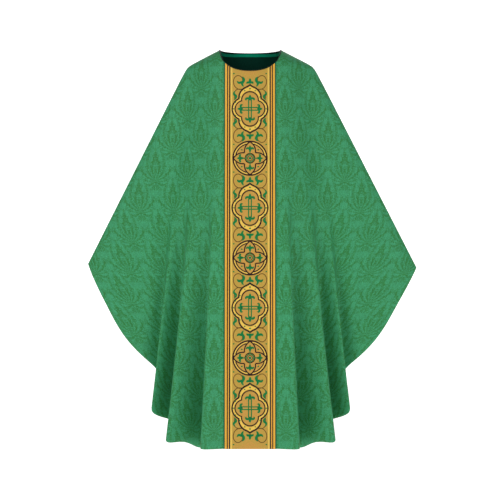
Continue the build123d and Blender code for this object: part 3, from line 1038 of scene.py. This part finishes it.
class CHASUBLE_OT_braids(bpy.types.Operator):
    """Builds the narrow braids along both sides of each orphrey"""

    bl_idname = "chasuble.braids"
    bl_label = "Braids"

    def execute(self, context):
        cloth, colours = Cloth(context.scene), context.scene.chasuble_colours
        trim = cloth.trim
        material = plain_cloth("green rayon braid", colours)
        for face in FACES:
            for side, sign in SIDES.items():
                start, end = trim.orphrey_half_width / cloth.braid_edge, 1.0
                place = np.linspace(start, end, 7)
                over = (place - start) / (end - start)
                top = cloth.neckline(place, face, trim.binding_height * 0.5)
                down = np.linspace(0, 1, 1150)[:, None]
                fall = top + (cloth.hem(place) - top) * down
                # Rounded across, and twisted into slanting ribs 5 mm apart
                round_over = np.sin(np.pi * (0.12 + 0.76 * over)) ** 0.6
                twist = 0.82 + 0.18 * np.cos(2 * np.pi * (fall / 0.005 + 0.55 * over))
                across = np.broadcast_to(sign * place, fall.shape)
                face_rows = cloth.point(across, fall, face, -trim.braid_thickness * round_over * twist)
                back_rows = cloth.point(across, fall, face, np.zeros(fall.shape))
                loop = np.concatenate([face_rows, face_rows[-1:] * 0.5 + back_rows[-1:] * 0.5,
                                       back_rows[::-1], face_rows[:1] * 0.5 + back_rows[:1] * 0.5])
                flat = np.stack([sign * cloth.plain_x(across, fall), -fall], axis=-1)
                flat = np.concatenate([flat, flat[-1:], flat[::-1], flat[:1]])
                make_piece(
                    f"{face}_braid_{side}", loop, loop_faces(loop.shape[0], loop.shape[1], False), material,
                    [f"{face}_orphrey_braid_{side}"], flat,
                )
        return {"FINISHED"}


class CHASUBLE_OT_neck(bpy.types.Operator):
    """Builds the rolled neck binding and the two facing strips inside the neck"""

    bl_idname = "chasuble.neck"
    bl_label = "Neck binding and facings"

    def execute(self, context):
        cloth, colours = Cloth(context.scene), context.scene.chasuble_colours
        trim = cloth.trim
        taffeta = plain_cloth("green taffeta facing", colours)
        for face in FACES:
            piece = cloth_piece(
                cloth, f"{face}_facing_neck", face, -2, 2,
                lambda a: cloth.neckline(a, face, trim.binding_height * 0.5),
                lambda a: cloth.neckline(a, face, trim.binding_height + trim.neck_facing_height),
                cloth.lining_face, cloth.lining_back, taffeta, [f"{face}_neck_facing"], "neck_facing",
                rows=14, fine=0.8, crowd=1.0,
            )
        # The binding's colour carries painted shade: it is darkened for the shade along the neck edge.
        piping = plain_cloth("green bias binding with painted shade", colours)
        # The roll: an ellipse carried round the neckline, through both faces' columns
        half = cloth.columns(-2, 2, 0.9)
        turn = np.linspace(0, 2 * np.pi, 16, endpoint=False)[:, None]
        middle = (cloth.lining_back - trim.orphrey_thickness) / 2
        reach = (cloth.lining_back + trim.orphrey_thickness) / 2 + 0.0004
        rings, flats = [], []
        for face, across in (("front", half), ("back", half[::-1][1:-1])):
            further = trim.binding_height / 2 * (1 + np.cos(turn))
            top = cloth.neckline(across, face)
            fall = top + further / cloth.spread(across, top)
            places = np.broadcast_to(across, fall.shape)
            rings.append(cloth.point(places, fall, face, middle + reach * np.sin(turn) * np.ones(fall.shape)))
            flats.append(np.stack([cloth.plain_x(places, fall) * np.sign(places), -fall], axis=-1))
        loop, flat = np.concatenate(rings, axis=1), np.concatenate(flats, axis=1)
        make_piece(
            "neck_binding_roll", loop, loop_faces(loop.shape[0], loop.shape[1], True), piping,
            ["neck_binding"], flat,
        )
        return {"FINISHED"}


class CHASUBLE_OT_inner(bpy.types.Operator):
    """Builds the interlinings, the hem facings and the shoulder stay tapes between panels and lining"""

    bl_idname = "chasuble.inner"
    bl_label = "Interlinings, hem facings and stay tapes"

    def execute(self, context):
        cloth, colours = Cloth(context.scene), context.scene.chasuble_colours
        trim = cloth.trim
        canvas = plain_cloth("cotton canvas", colours)
        taffeta = plain_cloth("green taffeta facing", colours)
        edge = trim.interlining_half_width / cloth.braid_edge
        for face in FACES:
            piece = cloth_piece(
                cloth, f"{face}_interlining_canvas", face, -edge, edge,
                lambda a: cloth.neckline(a, face, trim.binding_height),
                lambda a: cloth.hem(a, trim.hem_facing_height), trim.panel_thickness, cloth.lining_face,
                canvas, [f"{face}_orphrey_interlining"], "interlining", rows=90, fine=1.0,
            )
            piece = cloth_piece(
                cloth, f"{face}_facing_hem", face, -2, 2,
                lambda a: cloth.hem(a, trim.hem_facing_height), lambda a: cloth.hem(a, HEM_ALLOWANCE),
                trim.panel_thickness, cloth.lining_face, taffeta, [f"{face}_hem_facing"], "hem_facing",
                rows=10, fine=0.9, crowd=1.0,
            )
        tape_share = np.sqrt(1 - (trim.stay_tape_half_width / cloth.form.wing_half_depth) ** 2)
        for side, sign in SIDES.items():
            # Over the seam from the front to the back: places close in on the seam from both faces
            near = 1 + np.sin(np.linspace(np.arcsin(tape_share), np.pi / 2, 7))
            down = np.linspace(0, 1, 110)[:, None]
            layers = {}
            for depth in (trim.panel_thickness, cloth.lining_face):
                halves = []
                for face, across in (("front", sign * near), ("back", (sign * near)[::-1][1:])):
                    top = cloth.neckline(across, face, trim.binding_height)
                    fall = top + (cloth.hem(across, trim.hem_facing_height) - top) * down
                    halves.append(cloth.point(np.broadcast_to(across, fall.shape), fall, face, depth))
                layers[depth] = np.concatenate(halves, axis=1)
            outer, inner = layers.values()
            loop = np.concatenate([
                outer, (outer[-1:] + inner[-1:]) / 2, inner[::-1], (outer[:1] + inner[:1]) / 2
            ])
            rows, columns = loop.shape[:2]
            tape_width, tape_length = 2 * trim.stay_tape_half_width, 0.80
            flat = np.stack(
                np.meshgrid(np.linspace(0, tape_width, columns), -np.linspace(0, tape_length, rows)), axis=-1
            )
            piece = make_piece(
                f"{side}_tape_shoulder", loop, loop_faces(rows, columns, False), canvas,
                [f"{side}_shoulder_stay_tape"], flat,
            )
        return {"FINISHED"}


class CHASUBLE_OT_studio(bpy.types.Operator):
    """Builds the pale floor and backdrop, the soft lights and the camera"""

    bl_idname = "chasuble.studio"
    bl_label = "Studio"

    def execute(self, context):
        scene = context.scene
        # Floor and backdrop in one sweep: a line along the floor, a quarter circle, and a line up
        near, bend_start, bend, wall_height, half_breadth = -9.0, 8.0, 1.4, 7.0, 9
        floor = cad_low.z - 0.30  # the garment hangs clear of the floor
        angle = np.linspace(0, np.pi / 2, 24)
        turn = np.stack([bend_start + bend * np.sin(angle), bend - bend * np.cos(angle)], axis=1)
        profile = np.concatenate([[(near, 0.0)], turn, [(bend_start + bend, wall_height)]])
        width = np.linspace(-half_breadth, half_breadth, 9)
        grid = np.stack(np.broadcast_arrays(
            width[None, :], profile[:, :1], floor + profile[:, 1:]
        ), axis=-1)
        rows, columns = grid.shape[:2]
        number = np.arange(rows * columns).reshape(rows, columns)
        faces = np.stack([number[:-1, :-1], number[:-1, 1:], number[1:, 1:], number[1:, :-1]], axis=-1)
        mesh = bpy.data.meshes.new("studio_sweep")
        mesh.from_pydata(grid.reshape(-1, 3).tolist(), [], faces.reshape(-1, 4).tolist())
        mesh.materials.append(studio_material(scene.chasuble_colours.backdrop))
        mesh.shade_smooth()
        sweep = bpy.data.objects.new("studio_sweep", mesh)
        scene.collection.objects.link(sweep)

        middle = (cad_low.z + cad_high.z) / 2
        lamps = {
            # name: place, aimed at, size, power in watts
            "key_softbox": ((-2.1, -2.8, middle + 2.1), (0.05, -0.1, middle + 0.2), 2.2, 56),
            "fill_softbox": ((2.6, -3.2, middle + 1.5), (0.0, -0.1, middle + 0.2), 2.6, 44),
            "rim_softbox": ((0.4, 2.4, middle + 2.4), (0.0, 0.0, middle), 2.2, 6),
        }
        for name, (place, target, breadth, power) in lamps.items():
            lamp = bpy.data.lights.new(name, "AREA")
            lamp.shape, lamp.size, lamp.energy = "SQUARE", breadth, power
            lamp_object = bpy.data.objects.new(name, lamp)
            lamp_object.location = place
            aim = Vector(target) - Vector(place)
            lamp_object.rotation_euler = aim.to_track_quat("-Z", "Y").to_euler()
            scene.collection.objects.link(lamp_object)
        world = bpy.data.worlds.new("studio_world")
        world.use_nodes = True
        world.node_tree.nodes["Background"].inputs["Color"].default_value = (1, 1, 1, 1)
        world.node_tree.nodes["Background"].inputs["Strength"].default_value = 0.22
        scene.world = world
        scene.view_settings.view_transform = "Standard"

        # Level camera 6 m in front of the garment, which fills the frame from 1.6 m across
        camera = bpy.data.cameras.new("camera")
        camera.lens, camera.sensor_width = 135, 36
        camera_object = bpy.data.objects.new("camera", camera)
        camera_object.location = (0, -6, -0.64)
        camera_object.rotation_euler = (np.pi / 2, 0, 0)
        scene.collection.objects.link(camera_object)
        scene.camera = camera_object
        return {"FINISHED"}


class CHASUBLE_PT_panel(bpy.types.Panel):
    """Lists the builder's steps and the sizes and colours they use"""

    bl_idname = "CHASUBLE_PT_panel"
    bl_label = "Chasuble"
    bl_space_type = "VIEW_3D"
    bl_region_type = "UI"
    bl_category = "Chasuble"

    def draw(self, context):
        for operator in OPERATORS:
            self.layout.operator(operator.bl_idname)
        for group in GROUPS:
            box = self.layout.box()
            box.label(text=group)
            settings = getattr(context.scene, group)
            for key in settings.__annotations__:
                box.prop(settings, key)


OPERATORS = (
    CHASUBLE_OT_braids,
    CHASUBLE_OT_panels,
    CHASUBLE_OT_linings,
    CHASUBLE_OT_figures,
    CHASUBLE_OT_orphreys,
    CHASUBLE_OT_neck,
    CHASUBLE_OT_inner,
    CHASUBLE_OT_studio,
)
GROUPS = {
    "chasuble_form": ChasubleForm,
    "chasuble_folds": ChasubleFolds,
    "chasuble_trim": ChasubleTrim,
    "chasuble_colours": ChasubleColours,
}


def register():
    """Registers the settings, operators and panel."""
    for key, group in GROUPS.items():
        bpy.utils.register_class(group)
        setattr(bpy.types.Scene, key, PointerProperty(type=group))
    for kind in (*OPERATORS, CHASUBLE_PT_panel):
        bpy.utils.register_class(kind)


def unregister():
    """Takes them away again, in reverse."""
    for kind in (CHASUBLE_PT_panel, *reversed(OPERATORS)):
        bpy.utils.unregister_class(kind)
    for key, group in reversed(GROUPS.items()):
        delattr(bpy.types.Scene, key)
        bpy.utils.unregister_class(group)


def main():
    """Builds everything in order."""
    register()
    for operator in OPERATORS:
        namespace, step = operator.bl_idname.split(".")
        getattr(getattr(bpy.ops, namespace), step)()


if __name__ == "__main__":
    main()
